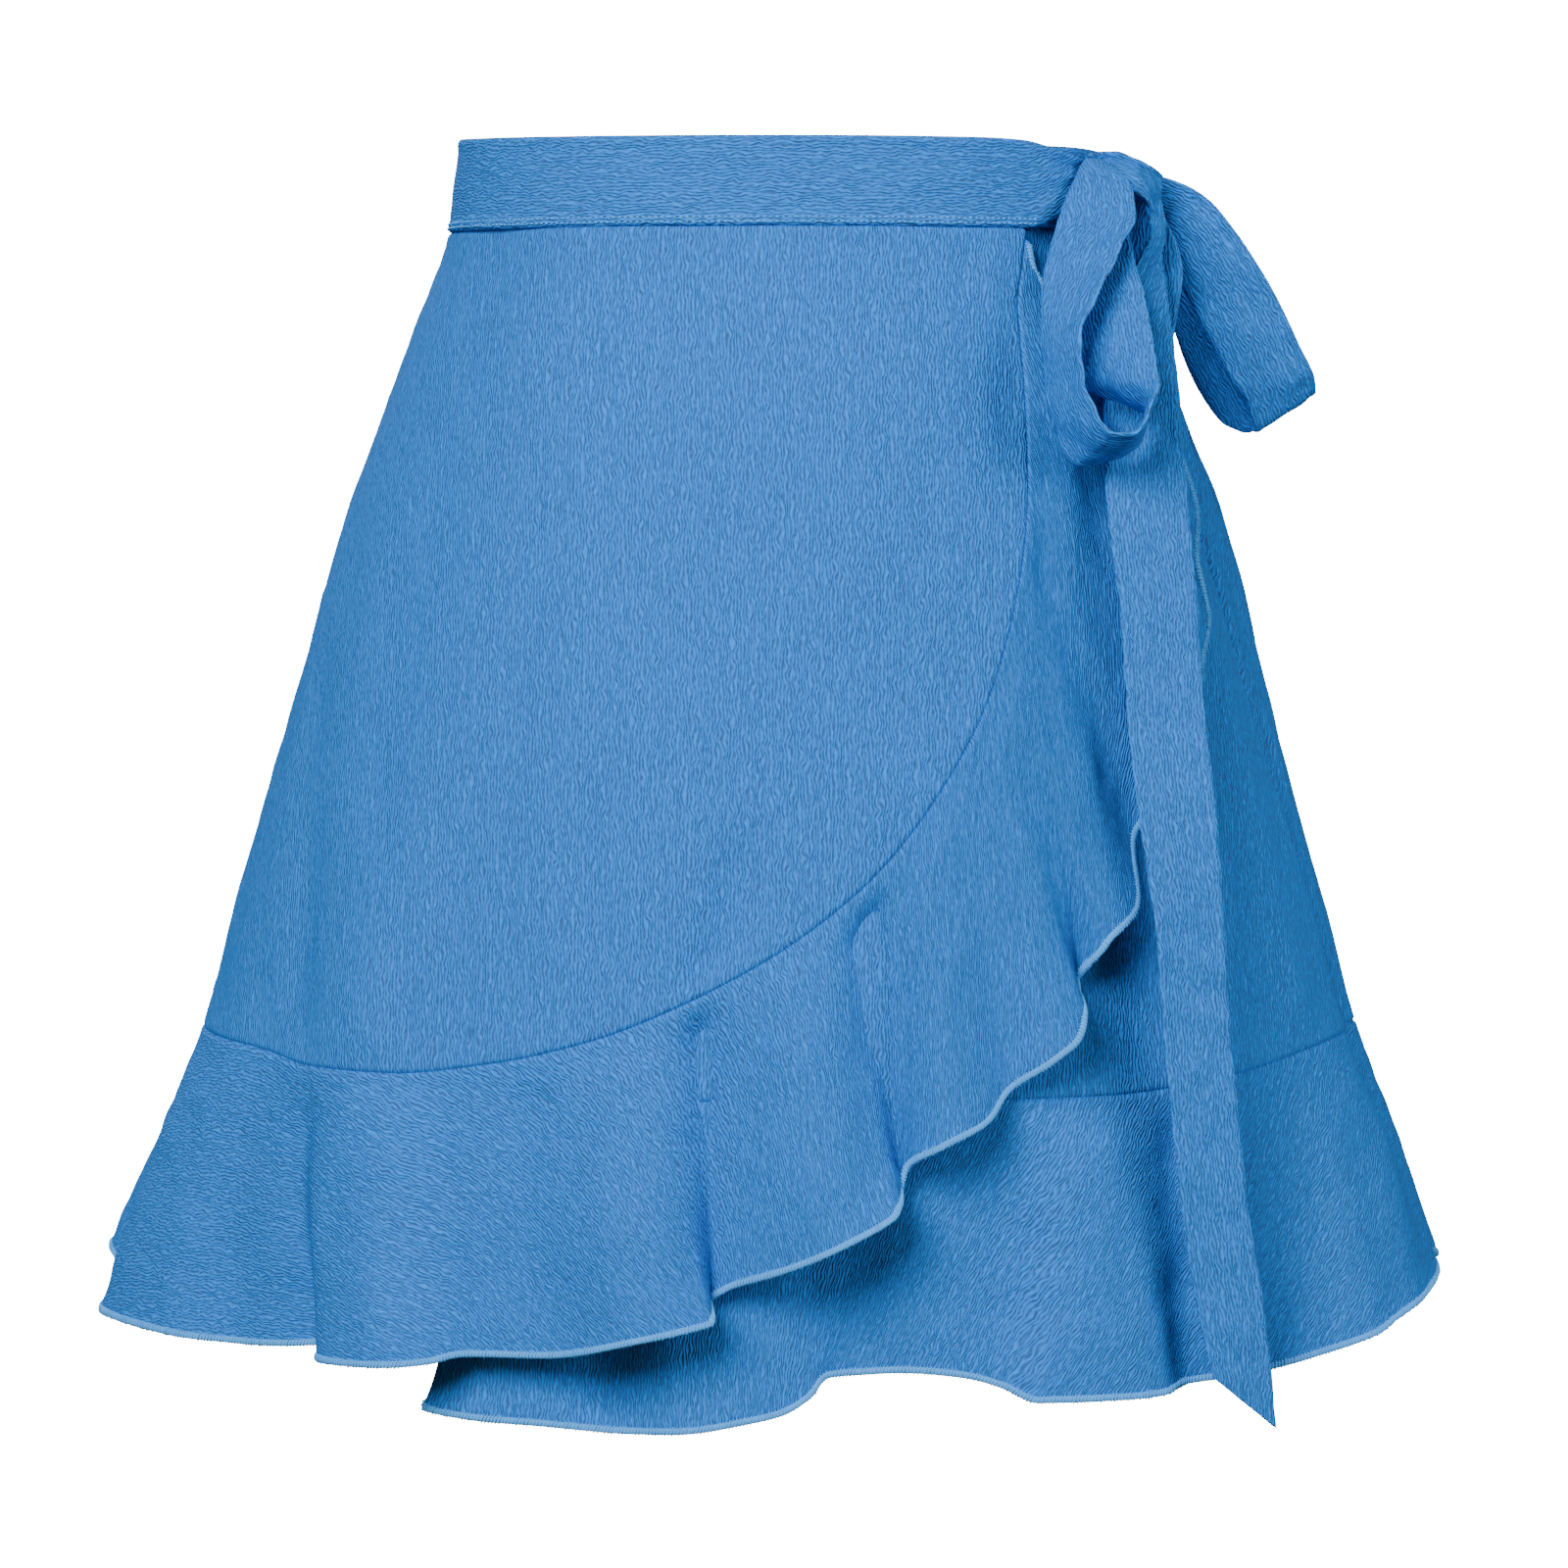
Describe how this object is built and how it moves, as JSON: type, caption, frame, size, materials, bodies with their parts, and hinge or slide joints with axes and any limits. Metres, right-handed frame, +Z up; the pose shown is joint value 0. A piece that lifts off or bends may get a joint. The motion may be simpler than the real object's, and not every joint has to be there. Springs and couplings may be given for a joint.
{
  "type": "ruffled wrap mini skirt",
  "caption": "Short wrap skirt in blue crinkle cloth with a flounced hem and a side bow, hollow as worn, held at the waist.",
  "frame": {"origin": "centre of the waist ring, half-way up the waistband", "axes": "+Z up, -Y towards the front, +X to the bow's side"},
  "size_m": [0.4823, 0.3742, 0.4382],
  "materials": {
    "panel": "crinkle crepe, matt, crinkles down the skirt",
    "band": "crinkle crepe, matt, crinkles along the band",
    "ruffle": "crinkle crepe, matt, cut on the curve",
    "tie": "crinkle crepe, folded and sewn strip",
    "thread": "light blue thread of the overlocked edges and topstitching"
  },
  "bodies": {
    "root": {"waistband_outer": "band", "waistband_under": "band", "waistband_back": "band", "panel_outer": "panel", "panel_under": "panel", "panel_back": "panel", "ruffle_outer": "ruffle", "ruffle_under": "ruffle", "ruffle_back": "ruffle", "knot": "tie", "loop_front": "tie", "loop_side": "tie", "tail_front": "tie", "tail_back": "tie", "tie_root": "tie"}
  },
  "joints": []
}
